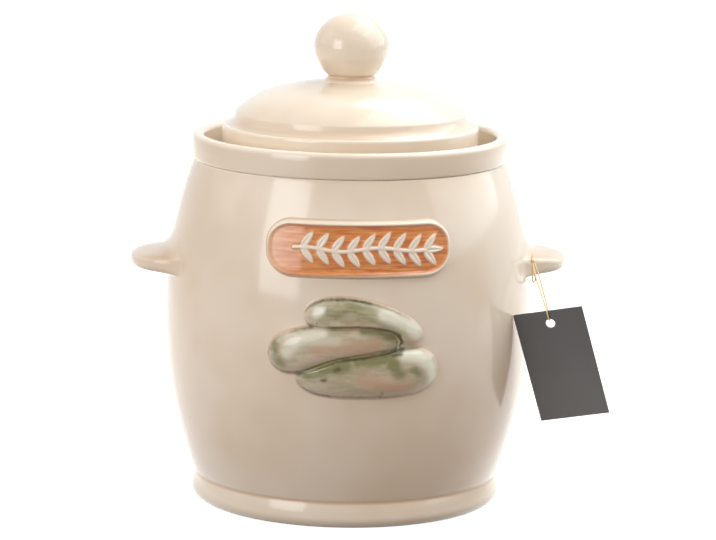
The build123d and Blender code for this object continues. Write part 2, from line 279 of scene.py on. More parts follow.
# Swing tag and its thread
card_angle = -25.1
card_standoff = 25.4
card_drop = 51.6
card_lean, card_tilt, card_turn = 17.0, -12.0, -17.0
card_hole_radius = 2.6
card_hole_rise = 26.2
card_length = 68.0
card_edge_start = 0.05
card_edge_end = 0.4
thread_diameter = 0.8
ear_thread_length = 184.3
tag_thread_length = 73.7
knot_centre = (101.5, -41.2, 143.0)
knot_size = 0.34
knot_tube = 0.42
ear_thread_route = [
    (101.6, -40.3, 143.1),
    (103.4, -24.0, 143.9),
    (106.2, -2.0, 143.8),
    (104.8, 22.0, 144.0),
    (100.6, 42.2, 143.0),
    (100.2, 42.6, 130.2),
    (105.4, 22.0, 128.6),
    (107.8, -1.0, 128.2),
    (105.6, -23.0, 128.8),
    (101.2, -41.9, 130.0),
    (101.4, -41.3, 142.2),
]
tag_thread_route = [
    (101.2, -42.4, 141.9),
    (102.4, -47.6, 135.2),
    (105.2, -56.2, 126.4),
    (107.2, -63.6, 119.2),
    (108.9, -62.6, 112.9),
    (109.9, -59.5, 113.9),
    (108.6, -56.0, 119.0),
    (106.4, -50.4, 128.4),
    (104.2, -44.6, 137.6),
    (102.3, -42.1, 141.8),
]

# How soft the glaze makes an edge, and the radii from which a bend counts as hollow or as sharp
glaze_softness = 0.55
wall_softness = 0.4
lid_softness = 0.6
knob_softness = 0.5
bend_softness = 0.8
hollow_radius = 2.4
sharp_radius = 1.6

# Raised patches: the hem that lies in the barrel, the back inside its wall, and the edges' shading
hem_depth = 0.05
hem_fade = 0.3
patch_depth = 1.2
patch_margin = 5.0
patch_blur = 2.0
patch_edge_blur = 1.2
patch_edge_contrast = 14.0

# Steps of the meshes, crowding of the lid's rings at its notches, and gaps that are closed
ring_steps = 288
ring_crowding = 0.36
outline_step = 0.2
side_steps = 200
inside_steps = 120
arc_steps = 60
inside_room_share = 1.1
ear_steps = 190
ear_fine_steps = 1100
label_steps = (380, 140)
relief_steps = (330, 200)
back_steps = 5
knot_steps = (160, 12)
least_gap = 1e-6
weld_gap = 1e-4


# Lines and outlines


def barrel_radius(height, inset=0):
    """Radius of the barrel's side, one arc that is widest at the belly, or of a line inset square to it."""
    arc = belly_arc_radius - inset
    return belly_radius - belly_arc_radius + np.sqrt(arc**2 - (height - belly_height) ** 2)


# Heights and radii that follow from the barrel's side, from the foot up to the lid
groove_radius = barrel_radius(groove_height) - groove_depth
foot_radius = groove_radius + foot_swell
foot_base_radius = foot_radius - foot_undercut
shoulder_height = channel_floor_height + shoulder_step
collar_outer_radius = barrel_radius(shoulder_height) + collar_overhang
collar_inner_radius = collar_outer_radius - collar_wall
collar_top_height = shoulder_height + collar_rise
neck_outer_radius = collar_inner_radius - channel_width
mouth_radius = neck_outer_radius - neck_wall
neck_top_height = channel_floor_height + neck_rise
skirt_inner_radius = neck_outer_radius + skirt_clearance
skirt_radius = skirt_inner_radius + lid_wall
skirt_bottom = channel_floor_height + seat_gap
brim_height = neck_top_height + brim_rise
dome_edge_radius = skirt_radius - flare_width
ear_height = shoulder_height - ear_drop
ear_root_offset = np.sqrt(barrel_radius(ear_height) ** 2 - ear_half_width**2) - ear_root_sink
ear_reach = barrel_radius(ear_height) + ear_stand_out - ear_root_offset
label_height = shoulder_height - label_drop
label_corner = label_rise_height / 2 * label_corner_share
relief_height = label_height - relief_drop
card_height = ear_height - card_drop
card_offset = barrel_radius(card_height) + card_standoff


def arc_points(centre, radius, start, end, steps=40):
    """Points of a circle's arc between two angles."""
    turn = np.radians(np.linspace(start, end, steps))
    return np.column_stack([centre[0] + radius * np.cos(turn), centre[1] + radius * np.sin(turn)])


def arc_through(first, middle, last, steps=24):
    """The arc through three points: its centre is where the two bisectors cross."""
    first, middle, last = (np.array(point, float) for point in (first, middle, last))
    sides = np.array([middle - first, last - first])
    centre = first + np.linalg.solve(sides, (sides**2).sum(1) / 2)
    spokes = np.array([first, middle, last]) - centre
    turns = np.degrees(np.unwrap(np.arctan2(spokes[:, 1], spokes[:, 0])))
    return arc_points(centre, np.linalg.norm(spokes[0]), turns[0], turns[2], steps)


def smooth_line(stations, steps=24):
    """A Catmull-Rom curve: each piece leaves its points along the line between their neighbours."""
    stations = np.array(stations, float)
    pieces = len(stations) - 1
    line = np.vstack([stations[0] * 2 - stations[1], stations, stations[-1] * 2 - stations[-2]])
    before, start, end, after = (line[first : first + pieces, None] for first in range(4))
    share = np.linspace(0, 1, steps, endpoint=False)[None, :, None]
    curve = start + 0.5 * share * (end - before + share * (
        2 * before - 5 * start + 4 * end - after + share * (3 * (start - end) + after - before)
    ))
    return np.vstack([curve.reshape(-1, 2), stations[-1:]])


def rounded(corners, radii, steps=10):
    """A polygon's corners cut back by radius times the half angle's tangent, with an arc between."""
    corners = [np.array(corner, float) for corner in corners]
    points = [corners[0]]
    for before, corner, after, radius in zip(corners, corners[1:], corners[2:], radii):
        back, ahead = before - corner, after - corner
        back, ahead = back / np.linalg.norm(back), ahead / np.linalg.norm(ahead)
        half = math.acos(np.clip(back @ ahead, -1, 1)) / 2
        inwards = (back + ahead) / np.linalg.norm(back + ahead) * radius
        middle = corner + inwards / math.sin(half)
        start, end = corner + back * radius / math.tan(half), corner + ahead * radius / math.tan(half)
        points += list(arc_through(start, middle - inwards, end, steps)) if radius else [corner]
    return np.array(points + [corners[-1]])


def spread(field, widths):
    """A field averaged by a bell curve of given widths in steps, one width for each axis."""
    tones = np.fft.fftn(field, axes=range(len(widths)))
    for axis, width in enumerate(widths):
        shape = [1] * field.ndim
        shape[axis] = -1
        rate = np.fft.fftfreq(field.shape[axis]).reshape(shape)
        tones = tones * np.exp(-2 * (math.pi * width * rate) ** 2)
    return np.fft.ifftn(tones, axes=range(len(widths))).real


def melted(outline, softness, longest=3.0, turn=4.0, from_axis=False):
    """A closed outline sampled evenly, averaged along its length, and thinned where it runs straight.

    An outline that starts and ends on the axis is closed by its own mirror image first. The result
    holds radius, height, and how hollow and how sharp the line is, each from nought to one.
    """
    line = np.vstack([outline, outline[::-1] * (-1, 1)]) if from_axis else np.vstack([outline, outline[:1]])
    gaps = np.hypot(*np.diff(line, axis=0).T)
    line = line[np.append(True, gaps > least_gap)]
    way = np.append(0, np.cumsum(np.hypot(*np.diff(line, axis=0).T)))
    count = 2 * int(way[-1] / outline_step)
    even = np.linspace(0, way[-1], count, endpoint=False)
    line = np.column_stack([np.interp(even, way, line[:, axis]) for axis in (0, 1)])
    step = way[-1] / count
    line = spread(line, (softness / step,))
    ahead = np.roll(line, -1, 0) - line
    heading = np.arctan2(ahead[:, 1], ahead[:, 0])
    bend = (heading - np.roll(heading, 1) + math.pi) % (2 * math.pi) - math.pi
    area = (line[:, 0] * np.roll(line[:, 1], -1) - np.roll(line[:, 0], -1) * line[:, 1]).sum()
    bend = spread(bend / step * np.sign(area), (bend_softness / step,))
    cost = np.cumsum(step / longest + np.abs(bend) * step / math.radians(turn))
    half = len(line) // 2 if from_axis else len(line)
    stops = np.linspace(cost[0], cost[half - 1], int(cost[half - 1] - cost[0]) + 2, endpoint=from_axis)
    hollow, sharp = np.clip(-bend * hollow_radius, 0, 1), np.clip(bend * sharp_radius, 0, 1)
    columns = [line[:, 0], line[:, 1], hollow, sharp]
    result = np.column_stack([np.interp(stops, cost[:half], column[:half]) for column in columns])
    if from_axis:
        result[[0, -1], 0] = 0
    return result


def soften(field, width, step):
    """A field over a surface averaged over a width in millimetres, by its two steps."""
    return spread(field, (width / step[0], width / step[1]))


# Objects and meshes


def placed(name, data, axes=np.eye(3), where=(0, 0, 0)):
    """A new object in the scene, with its own axes and its place in metres."""
    made = bpy.data.objects.new(name, data)
    bpy.context.scene.collection.objects.link(made)
    place = Matrix(axes.tolist()).to_4x4()
    place.translation = list(where)
    made.matrix_world = place
    return made


def round_axis(radius, turn, height):
    """Points at a radius and a height, turned about the vertical axis from the front."""
    return np.stack([radius * np.sin(turn), -radius * np.cos(turn), height], -1)


def solid(name, nodes, points, fields, wraps, body, paint):
    """A closed mesh over a grid of points: four neighbours make a face.

    A way that wraps joins its own start. Ends that do not are closed by one flat face each.
    Points that coincide are merged, and all faces are turned outwards.
    """
    rows, columns = points.shape[:2]
    index = np.arange(rows * columns).reshape(rows, columns)
    ends = [] if wraps[0] else [index[0].tolist(), index[-1].tolist()]
    if wraps[0]:
        index = np.vstack([index, index[:1]])
    if wraps[1]:
        index = np.column_stack([index, index[:, :1]])
    faces = np.stack([index[:-1, :-1], index[1:, :-1], index[1:, 1:], index[:-1, 1:]], -1)
    mesh = bpy.data.meshes.new(name)
    mesh.from_pydata((points.reshape(-1, 3) * millimetre).tolist(), [], faces.reshape(-1, 4).tolist() + ends)
    for field, values in fields.items():
        layer = mesh.attributes.new(field, "FLOAT", "POINT")
        layer.data.foreach_set("value", np.broadcast_to(values, (rows, columns)).ravel().astype(np.float32))
    shape = bmesh.new()
    shape.from_mesh(mesh)
    bmesh.ops.remove_doubles(shape, verts=shape.verts, dist=weld_gap * millimetre)
    bmesh.ops.recalc_face_normals(shape, faces=shape.faces)
    for face in shape.faces:
        face.smooth = len(face.verts) < 5
    shape.to_mesh(mesh)
    shape.free()
    mesh.materials.append(paint)
    made = placed(name, mesh)
    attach(made, body)
    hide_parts(*nodes)
    return made


def turned(name, node, profile, from_axis, body, paint, shift=None):
    """A profile of radius and height carried round the vertical axis.

    A profile that starts and ends on the axis closes itself there. A shift of the heights comes
    with rings that crowd together at the front and the back.
    """
    turn = np.linspace(0, 2 * math.pi, ring_steps, endpoint=False)[:, None]
    radius, height, hollow, sharp = (profile[:, column][None, :] for column in range(4))
    height = np.broadcast_to(height, (ring_steps, len(profile)))
    if shift is not None:
        turn = turn - ring_crowding * np.sin(2 * turn)
        height = height + shift(turn, height, radius)
    points = round_axis(radius, turn, height)
    fields = {"hollow": hollow, "sharp": sharp}
    return solid(name, [node], points, fields, (True, not from_axis), body, paint)


def patch(name, nodes, angles, heights, rise, fields, paint):
    """A raised patch on the barrel: its face lies a rise outside the side, its back inside the wall.

    The rise falls a little under nought at its hem, so that the hem slips under the barrel's glaze.
    """
    rise = rise - hem_depth * np.exp(-np.maximum(rise, 0) / hem_fade)
    back = np.linspace(heights[-1], heights[0], back_steps)
    plain = np.zeros((len(angles), back_steps))
    radius = np.hstack([barrel_radius(heights) + rise, barrel_radius(back) - patch_depth + plain])
    height = np.broadcast_to(np.append(heights, back), radius.shape)
    turn = np.radians(angles)[:, None]
    points = round_axis(radius, turn, height)
    soft = spread(rise, (patch_blur, patch_blur))
    bump = (spread(soft, (patch_edge_blur, patch_edge_blur)) - soft) * patch_edge_contrast
    shown = {"hollow": np.clip(bump, 0, 1), "sharp": np.clip(-bump, 0, 1)}
    shown.update(fields)
    padded = {key: np.hstack([value, plain]) for key, value in shown.items()}
    return solid(name, nodes, points, padded, (False, True), "crock", paint)


# Shading


class Value:
    """A shader output that Python's operators work on: each adds one Math node."""

    def __init__(self, paint, socket):
        self.paint = paint
        self.socket = socket

    def join(self, operation, first, second):
        return self.paint.node("ShaderNodeMath", {"operation": operation}, {0: first, 1: second})

    def __add__(self, other):
        return self.join("ADD", self, other)

    def __mul__(self, other):
        return self.join("MULTIPLY", self, other)

    def __sub__(self, other):
        return self.join("SUBTRACT", self, other)

    def __rsub__(self, other):
        return self.join("SUBTRACT", other, self)

    def __truediv__(self, other):
        return self.join("DIVIDE", self, other)

    __radd__ = __add__
    __rmul__ = __mul__

    def between(self, low, high):
        """Nought below low, one above high, and a smooth step from one to the other."""
        settings = {"interpolation_type": "SMOOTHSTEP"}
        inputs = {"Value": self, "From Min": low, "From Max": high}
        return self.paint.node("ShaderNodeMapRange", settings, inputs)


class Paint:
    """The nodes of a material or of the world, all added by one method."""

    def __init__(self, owner):
        self.owner = owner
        owner.use_nodes = True
        self.tree = owner.node_tree
        self.tree.nodes.clear()

    def node(self, kind, settings, inputs, output=0):
        """Adds a node, gives it its settings, then its values and links, and returns one output."""
        made = self.tree.nodes.new(kind)
        for key, value in settings.items():
            setattr(made, key, value)
        for key, value in inputs.items():
            if isinstance(value, Value):
                self.tree.links.new(value.socket, made.inputs[key])
            else:
                made.inputs[key].default_value = value
        return Value(self, made.outputs[output]) if len(made.outputs) else None

    def field(self, name):
        """A mesh attribute."""
        return self.node("ShaderNodeAttribute", {"attribute_name": name}, {}, "Fac")

    def place(self, scale=(1, 1, 1), turn=(0, 0, 0), shift=(0, 0, 0)):
        """Object coordinates, stretched, turned and shifted."""
        where = self.node("ShaderNodeTexCoord", {}, {}, "Object")
        settings = {"vector_type": "POINT"}
        inputs = {"Vector": where, "Scale": scale, "Rotation": turn, "Location": shift}
        return self.node("ShaderNodeMapping", settings, inputs)

    def along(self, place, axis):
        """One coordinate of a place, in millimetres."""
        return self.node("ShaderNodeSeparateXYZ", {}, {0: place}, axis) / millimetre

    def noise(self, size, detail=3.0, stretch=(1, 1, 1), shift=(0, 0, 0), rough=0.5):
        """Noise whose cells are about a size in millimetres across."""
        inputs = {
            "Vector": self.place(stretch, shift=shift),
            "Scale": 1 / (size * millimetre),
            "Detail": detail,
            "Roughness": rough,
        }
        return self.node("ShaderNodeTexNoise", {}, inputs)

    def mix(self, share, first, second):
        """Two colours mixed by a share."""
        return self.node("ShaderNodeMix", {"data_type": "RGBA"}, {0: share, 6: first, 7: second}, 2)

    def bump(self, relief, distance, under=None):
        """A bump of a relief from nought to one, a distance in millimetres deep."""
        inputs = {"Height": relief, "Distance": distance * millimetre}
        if under is not None:
            inputs["Normal"] = under
        return self.node("ShaderNodeBump", {}, inputs)

    def finish(self, **inputs):
        """The surface shader and the material's output."""
        named = {key.replace("_", " "): value for key, value in inputs.items()}
        shader = self.node("ShaderNodeBsdfPrincipled", {}, named)
        self.node("ShaderNodeOutputMaterial", {}, {"Surface": shader})
        return self.owner


def tone(red, green, blue):
    """A colour written in screen values from 0 to 255, as linear light."""
    shares = [value / 255 for value in (red, green, blue)]
    linear = [share / 12.92 if share <= 0.04045 else ((share + 0.055) / 1.055) ** 2.4 for share in shares]
    return (*linear, 1.0)


cream = tone(237, 227, 212)
cream_thick = tone(229, 214, 193)
cream_thin = tone(246, 239, 226)
cream_pool_and_shade = tone(206, 176, 144)
speck_brown = tone(120, 84, 52)


def cream_base(paint):
    """Cream glaze: cloudy patches, warmer where it pools, paler on edges, and rare brown specks; on the ears'
    upper faces the pool's tint is painted shade.
    """
    cloud = paint.noise(60.0, 2.0).between(0.35, 0.7)
    colour = paint.mix(cloud, cream, cream_thick)
    colour = paint.mix(paint.field("sharp").between(0.1, 0.9) * 0.5, colour, cream_thin)
    # The hollow tint is pooled glaze, and on the ears' upper faces it is painted shade
    colour = paint.mix(paint.field("hollow").between(0.05, 0.8) * 0.75, colour, cream_pool_and_shade)
    speck = paint.noise(3.4, 0.0, shift=(0.3, 0.1, 0.2)).between(0.93, 0.95)
    return paint.mix(speck * 0.7, colour, speck_brown)


def glaze_bump(paint):
    """Glaze is never flat: slow waves, and a fine orange peel."""
    waves = paint.bump(paint.noise(34.0, 1.0), 0.45)
    return paint.bump(paint.noise(2.6, 1.0, shift=(0.5, 0.2, 0.7)), 0.012, under=waves)


def glazed(paint, colour, rough, coat):
    """A clear coat over a softer body, as on every glazed piece."""
    return paint.finish(
        Base_Color=colour,
        Roughness=rough,
        Normal=glaze_bump(paint),
        Coat_Weight=coat,
        Coat_Roughness=0.11,
        Coat_IOR=1.42,
        Specular_IOR_Level=0.2,
    )


def cream_glaze():
    """Cream glaze on the crock and the lid, wiped off where the foot stands."""
    paint = Paint(bpy.data.materials.new("cream_glaze"))
    dry = 1 - paint.along(paint.place(), "Z").between(0.4, 1.4)
    colour = paint.mix(dry * 0.8, cream_base(paint), tone(205, 184, 158))
    rough = 0.3 + paint.noise(18.0).between(0.4, 0.8) * 0.08 + dry * 0.4
    return glazed(paint, colour, rough, 1 - dry)


def label_glaze():
    """Orange brushed over cream in level streaks, rubbed through where the branch stands out."""
    paint = Paint(bpy.data.materials.new("label_glaze"))
    streaks = paint.noise(1.5, 4.0, stretch=(0.09, 0.09, 1.0), rough=0.6)
    broad = paint.noise(9.0, 2.0, stretch=(0.25, 0.25, 1.0), shift=(0.2, 0, 0.4))
    orange = paint.mix(streaks.between(0.36, 0.66), tone(196, 108, 38), tone(228, 158, 92))
    orange = paint.mix(broad.between(0.45, 0.72) * 0.5, orange, tone(204, 122, 34))
    # Paler towards the label's left end, along the frame's inner edge, and in some streaks
    pale = paint.field("paleness") + streaks.between(0.58, 0.8) * 0.3
    orange = paint.mix(pale.between(0.1, 0.95), orange, tone(238, 200, 168))
    cover = paint.field("paint") * (1 - paint.field("stroke") * 0.86)
    return glazed(paint, paint.mix(cover.between(0.12, 0.8), cream_base(paint), orange), 0.34, 1.0)


def green_glaze():
    """Washes of green, blush and white over cream, with dark brushed lines on top."""
    paint = Paint(bpy.data.materials.new("green_glaze"))
    smear = paint.noise(5.0, 4.0, stretch=(0.35, 0.35, 1.0), rough=0.6)
    fine = paint.noise(1.6, 3.0, stretch=(0.5, 0.5, 1.0), shift=(0.1, 0.4, 0))
    uneven = 0.75 + smear.between(0.35, 0.65) * 0.4
    colour = paint.mix((paint.field("wash") * uneven).between(0, 1.05), cream_base(paint), tone(128, 128, 80))
    colour = paint.mix((paint.field("blush") * uneven).between(0, 1.1), colour, tone(198, 164, 134))
    colour = paint.mix((paint.field("white") * uneven).between(0, 1.0), colour, tone(228, 232, 216))
    line = paint.field("line") * (0.8 + fine.between(0.3, 0.7) * 0.4)
    return glazed(paint, paint.mix(line.between(0.05, 1.0), colour, tone(84, 82, 44)), 0.34, 1.0)


def stone_glaze():
    """A plain pale glaze, a little cloudy."""
    paint = Paint(bpy.data.materials.new("stone_glaze"))
    cloud = paint.noise(14.0, 3.0).between(0.35, 0.7)
    return glazed(paint, paint.mix(cloud, tone(228, 216, 197), tone(214, 198, 174)), 0.4, 0.7)


def card_paper():
    """Dark card: a fine tooth, paler towards the foot, with a pale cut edge round its hole."""
    paint = Paint(bpy.data.materials.new("card_paper"))
    angle = math.radians(card_angle)
    centre = (card_offset * math.cos(angle), card_offset * math.sin(angle), card_height)
    lean, tilt, turn = (math.radians(value) for value in (card_lean, card_tilt, card_turn))
    place = Matrix.Rotation(turn, 4, "Z") @ Matrix.Rotation(lean, 4, "X") @ Matrix.Rotation(tilt, 4, "Y")
    back = (Matrix.Translation([value * millimetre for value in centre]) @ place).inverted()
    local = paint.place(turn=tuple(back.to_euler()), shift=tuple(back.to_translation()))
    across, up = paint.along(local, "X"), paint.along(local, "Z")
    tooth = paint.noise(0.5, 2.0)
    low = 1 - up.between(-card_length / 2, card_length / 2)
    grey = paint.mix(low, tone(89, 92, 95), tone(112, 116, 119))
    grey = paint.mix(tooth.between(0.3, 0.7) * 0.2 + paint.noise(16.0, 2.0) * 0.1, grey, tone(116, 115, 113))
    rise = up - card_hole_rise
    reach = paint.node("ShaderNodeMath", {"operation": "SQRT"}, {0: across * across + rise * rise})
    rim = 1 - reach.between(card_hole_radius + card_edge_start, card_hole_radius + card_edge_end)
    colour = paint.mix(rim, grey, tone(214, 210, 204))
    return paint.finish(Base_Color=colour, Roughness=0.62, Normal=paint.bump(tooth, 0.03))


def gold_thread():
    """Metallised thread: fine slanting plies."""
    paint = Paint(bpy.data.materials.new("gold_thread"))
    plies = paint.noise(0.35, 1.0, stretch=(1.0, 1.0, 2.2))
    colour = paint.mix(plies.between(0.3, 0.7), tone(206, 172, 112), tone(238, 218, 172))
    return paint.finish(Base_Color=colour, Metallic=0.35, Roughness=0.4, Normal=paint.bump(plies, 0.12))


# The thread and its knot


def thread(name, route, body, node, paint):
    """A smooth line whose control points are the route's points, with a round section."""
    curve = bpy.data.curves.new(name, "CURVE")
    curve.dimensions = "3D"
    spline = curve.splines.new("NURBS")
    spline.points.add(len(route) - 1)
    for point, place in zip(spline.points, route):
        point.co = (*(value * millimetre for value in place), 1.0)
    spline.order_u = 3
    spline.use_endpoint_u = True
    spline.resolution_u = 10
    curve.bevel_depth = thread_diameter / 2 * millimetre
    curve.bevel_resolution = 3
    curve.use_fill_caps = True
    curve.materials.append(paint)
    made = placed(name, curve)
    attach(made, body)
    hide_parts(node)
    return made


def thread_knot(paint):
    """A tube along a trefoil: x = sin t + 2 sin 2t, y = -sin 3t, z = cos t - 2 cos 2t, all scaled."""
    way = np.linspace(0, 2 * math.pi, knot_steps[0], endpoint=False)
    path = np.column_stack([
        np.sin(way) + 2 * np.sin(2 * way),
        -np.sin(3 * way),
        np.cos(way) - 2 * np.cos(2 * way),
    ]) * knot_size
    along = np.roll(path, -1, 0) - np.roll(path, 1, 0)
    along /= np.linalg.norm(along, axis=1, keepdims=True)
    out = np.cross(along, [0.0, 1.0, 0.0])
    out /= np.linalg.norm(out, axis=1, keepdims=True)
    side = np.cross(along, out)
    turn = np.linspace(0, 2 * math.pi, knot_steps[1], endpoint=False)[None, :, None]
    ring = out[:, None] * np.cos(turn) + side[:, None] * np.sin(turn)
    points = path[:, None] + ring * knot_tube + np.array(knot_centre)
    return solid("thread_knot", ["tag_knot"], points, {}, (True, True), "crock", paint)


# Crock


def crock_barrel(paint):
    """Foot ring, swell and groove, the belly's arc, the channel's floor and the inside, turned."""
    start = groove_height + groove_width / 2
    recess_radius = foot_base_radius - foot_ring_width
    low, high = inner_floor_height, channel_floor_height - channel_floor_thickness
    under = [
        (0, foot_recess_depth),
        (recess_radius - foot_recess_round, foot_recess_depth),
        (recess_radius, 0),
        (foot_base_radius, 0),
    ]
    flare = (foot_radius - foot_base_radius) * foot_swell_share
    swell = arc_through(
        (foot_base_radius, 0),
        (foot_radius - flare, foot_swell_height * foot_swell_share),
        (foot_radius, foot_swell_height),
    )
    waist = arc_through(
        (foot_radius, foot_swell_height),
        ((foot_radius * 2 + groove_radius) / 3, (foot_swell_height + groove_height) / 2),
        (groove_radius, groove_height),
    )
    up = np.linspace(start, shoulder_height, side_steps)
    side = np.column_stack([barrel_radius(up), up])
    room = shoulder_round * inside_room_share, inner_floor_round * inside_room_share
    down = np.linspace(high - room[0], low + room[1], inside_steps)
    inside = np.column_stack([barrel_radius(down, wall), down])
    channel = [
        (collar_inner_radius, shoulder_height),
        (collar_inner_radius, channel_floor_height),
        (mouth_radius, channel_floor_height),
        (mouth_radius, high),
    ]
    shoulder = rounded([channel[-1], (barrel_radius(high, wall), high), inside[0]], (shoulder_round,))
    floor = rounded([inside[-1], (barrel_radius(low, wall), low), (0, low)], (inner_floor_round,))
    outline = np.vstack([under, swell, waist, side, channel[:-1], shoulder, inside[1:-1], floor])
    profile = melted(outline, glaze_softness, longest=4.0, turn=5.5, from_axis=True)
    return turned("glazed_barrel", "crock_barrel", profile, True, "crock", paint)


def water_collar(paint):
    """The channel's outer wall, which bulges a little, with a round lip and foot."""
    low, high = shoulder_height, collar_top_height
    inner, outer = collar_inner_radius, collar_outer_radius
    lip = collar_wall * collar_lip_round_share
    swell = arc_through((outer, low), (outer + collar_bulge, (low + high) / 2), (outer, high), arc_steps)
    swell = swell[(swell[:, 1] > low + collar_foot_round) & (swell[:, 1] < high - lip)]
    foot = rounded([(inner, low), (outer, low), swell[0]], (collar_foot_round,))
    top = rounded([swell[-1], (outer, high), (inner, high), (inner, low)], (lip, lip))
    profile = melted(np.vstack([foot, swell, top[:-1]]), wall_softness)
    return turned("glazed_collar", "water_collar", profile, False, "crock", paint)


def mouth_neck(paint):
    """The channel's inner wall, a plain ring with round upper edges."""
    low, high, edge = channel_floor_height, neck_top_height, neck_wall * neck_round_share
    sides = ((mouth_radius, low), (neck_outer_radius, low), (neck_outer_radius, high), (mouth_radius, high))
    profile = melted(rounded([*sides, sides[0]], (0, edge, edge))[:-1], wall_softness)
    return turned("glazed_neck", "mouth_neck", profile, False, "crock", paint)


def ear_rise(angles, heights):
    """How far an ear stands out of the barrel's side, over angles from its middle and heights.

    In plan its rim is an ellipse, and a line from the axis meets it where a quadratic says. Both
    ends fade out by a smooth step of the angle. In section it is a blunt nose, one less a power of
    the height's share, with a soft foot round it.
    """
    turn = np.radians(angles)[:, None]
    narrow = ear_reach / ear_half_width
    square = np.cos(turn) ** 2 + (narrow * np.sin(turn)) ** 2
    middle = ear_root_offset * np.cos(turn) / square
    root = np.clip(middle**2 - (ear_root_offset**2 - ear_reach**2) / square, 0, None)
    out = np.clip(middle + np.sqrt(root) - barrel_radius(ear_height), 0, ear_stand_out - ear_trim)
    fade = np.clip((ear_fade_end - np.abs(angles)) / (ear_fade_end - ear_fade_start), 0, 1)[:, None]
    out = out * fade**2 * (3 - 2 * fade)
    lift = heights[None, :] - ear_height
    thick = np.where(lift > 0, ear_rim_rise + ear_root_rise, ear_rim_drop + ear_root_drop) / 2
    share = np.abs(lift) / thick
    nose = np.clip(1 - share**ear_bluntness, 0, 1) ** (1 / ear_bluntness)
    melt = np.where(lift > 0, ear_upper_melt, ear_lower_melt)
    beyond = np.clip(np.abs(lift) - thick * ear_foot_share, 0, None)
    foot = melt / ear_foot_scale * np.exp(-beyond / melt * 2)
    return out * np.maximum(nose, foot)


def ear(name, side, node, paint):
    """An ear of the barrel, with painted shade on its upper face, in the tint of pooled glaze, by a bell
    curve of the height.
    """
    angles = np.linspace(-ear_patch_turn, ear_patch_turn, ear_steps)
    fine = np.linspace(ear_height - ear_patch_drop, ear_height + ear_patch_rise, ear_fine_steps)
    step = math.radians(angles[1] - angles[0]) * belly_radius, fine[1] - fine[0]
    rise = spread(ear_rise(angles, fine), (ear_end_softness / step[0], ear_softness / step[1]))
    middle = rise[len(angles) // 2]
    way = np.append(0, np.cumsum(np.hypot(np.diff(middle), np.diff(fine))))
    heights = np.interp(np.linspace(0, way[-1], ear_steps), way, fine)
    rise = np.array([np.interp(heights, fine, row) for row in rise])
    # Painted shade: the ear's upper face is darkened with the pooled glaze's tint, most where the ear stands
    # out
    upper_face = np.exp(-(((heights - ear_height - ear_shade_height) / ear_shade_spread) ** 2))
    top_shade = {"hollow": ear_shade_share * upper_face * np.clip(rise / ear_shade_depth, 0, 1)}
    return patch(name, [node], angles + side * 90, heights, rise, top_shade, paint)


# Label


def pill_distance(across, up, inset):
    """Distance outside the label's outline, less than nought inside: a rounded rectangle's."""
    corner = label_corner - inset
    across = np.abs(across) - (label_width / 2 - label_corner)
    up = np.abs(up) - (label_rise_height / 2 - label_corner)
    outside = np.hypot(np.maximum(across, 0), np.maximum(up, 0))
    return outside + np.minimum(np.maximum(across, up), 0) - corner


def leaf(across, up, place, heading, length, width):
    """Share of a leaf's height: an almond that is fuller near its stem, with a vein along its middle."""
    turn = math.radians(heading)
    across, up = across - place[0], up - place[1]
    along = (across * math.cos(turn) + up * math.sin(turn)) / length
    aside = (up * math.cos(turn) - across * math.sin(turn)) / width
    edge = 2 * np.sqrt(np.clip(along * (1 - along), 0, None)) * (1 - along / 2)
    share = np.clip((edge - np.abs(aside)) / leaf_edge_share, 0, 1)
    vein = leaf_vein_depth_share * np.exp(-((aside / leaf_vein_width_share) ** 2))
    vein = vein * (along > leaf_vein_start_share)
    return share * (1 - vein)


def sprig(across, up):
    """A leafy branch: a stem in a shallow wave, leaves in slanting pairs, one leaf at its tip."""

    def stem(along):
        return sprig_swing * np.sin(2 * math.pi * along / sprig_wave)

    reach = np.clip(across, -sprig_length / 2, sprig_length / 2)
    share = np.clip((sprig_stem - np.hypot(up - stem(reach), across - reach)) / sprig_stem_edge, 0, 1)
    for root in np.linspace(-sprig_length / 2 + sprig_spacing / 2, sprig_length / 2, sprig_pairs):
        for heading in (-sprig_slant, sprig_slant):
            share = np.maximum(share, leaf(across, up, (root, stem(root)), heading, *sprig_leaf))
    tip = (sprig_length / 2, stem(sprig_length / 2))
    return np.maximum(share, leaf(across, up, tip, 0, *sprig_leaf))


def label(paint):
    """A frame round a lower field, both rounded rectangles, and the branch's strokes on the field."""
    half = math.degrees(math.asin(label_width / 2 / barrel_radius(label_height))) + label_side_margin
    angles = np.linspace(-half, half, label_steps[0])
    reach = label_rise_height / 2 + patch_margin
    heights = np.linspace(label_height - reach, label_height + reach, label_steps[1])
    across = barrel_radius(heights)[None, :] * np.sin(np.radians(angles))[:, None]
    up = np.broadcast_to(heights - label_height, across.shape)
    outer, inner = pill_distance(across, up, 0), pill_distance(across, up, label_frame_width)
    step = (angles[1] - angles[0]) * math.radians(1) * barrel_radius(label_height), heights[1] - heights[0]
    rise = np.clip(0.5 - outer / label_edge_width, 0, 1) * label_frame_raise
    rise -= np.clip(0.5 - inner / label_edge_width, 0, 1) * (label_frame_raise - label_field_raise)
    rise = soften(rise, label_softness, step)
    stroke = soften(sprig(across, up), sprig_softness, step)
    rise += stroke * sprig_raise
    smear = np.clip(-across / label_width - up / label_rise_height, 0, 1)
    # The orange turns paler towards the label's left end
    paleness = np.clip((-across - label_paleness_start) / label_paleness_width, 0, 1) * label_paleness_share
    fields = {
        "paint": np.clip((label_paint_margin - inner + label_smear * smear) / label_paint_edge, 0, 1),
        "stroke": np.clip(stroke * sprig_paint_gain, 0, 1),
        "paleness": paleness + (np.abs(inner) < label_rub_width) * label_rub_share,
    }
    nodes = ["label_frame", "label_field"]
    return patch("label_relief", nodes, angles, heights, rise, fields, paint)


# Cucumbers


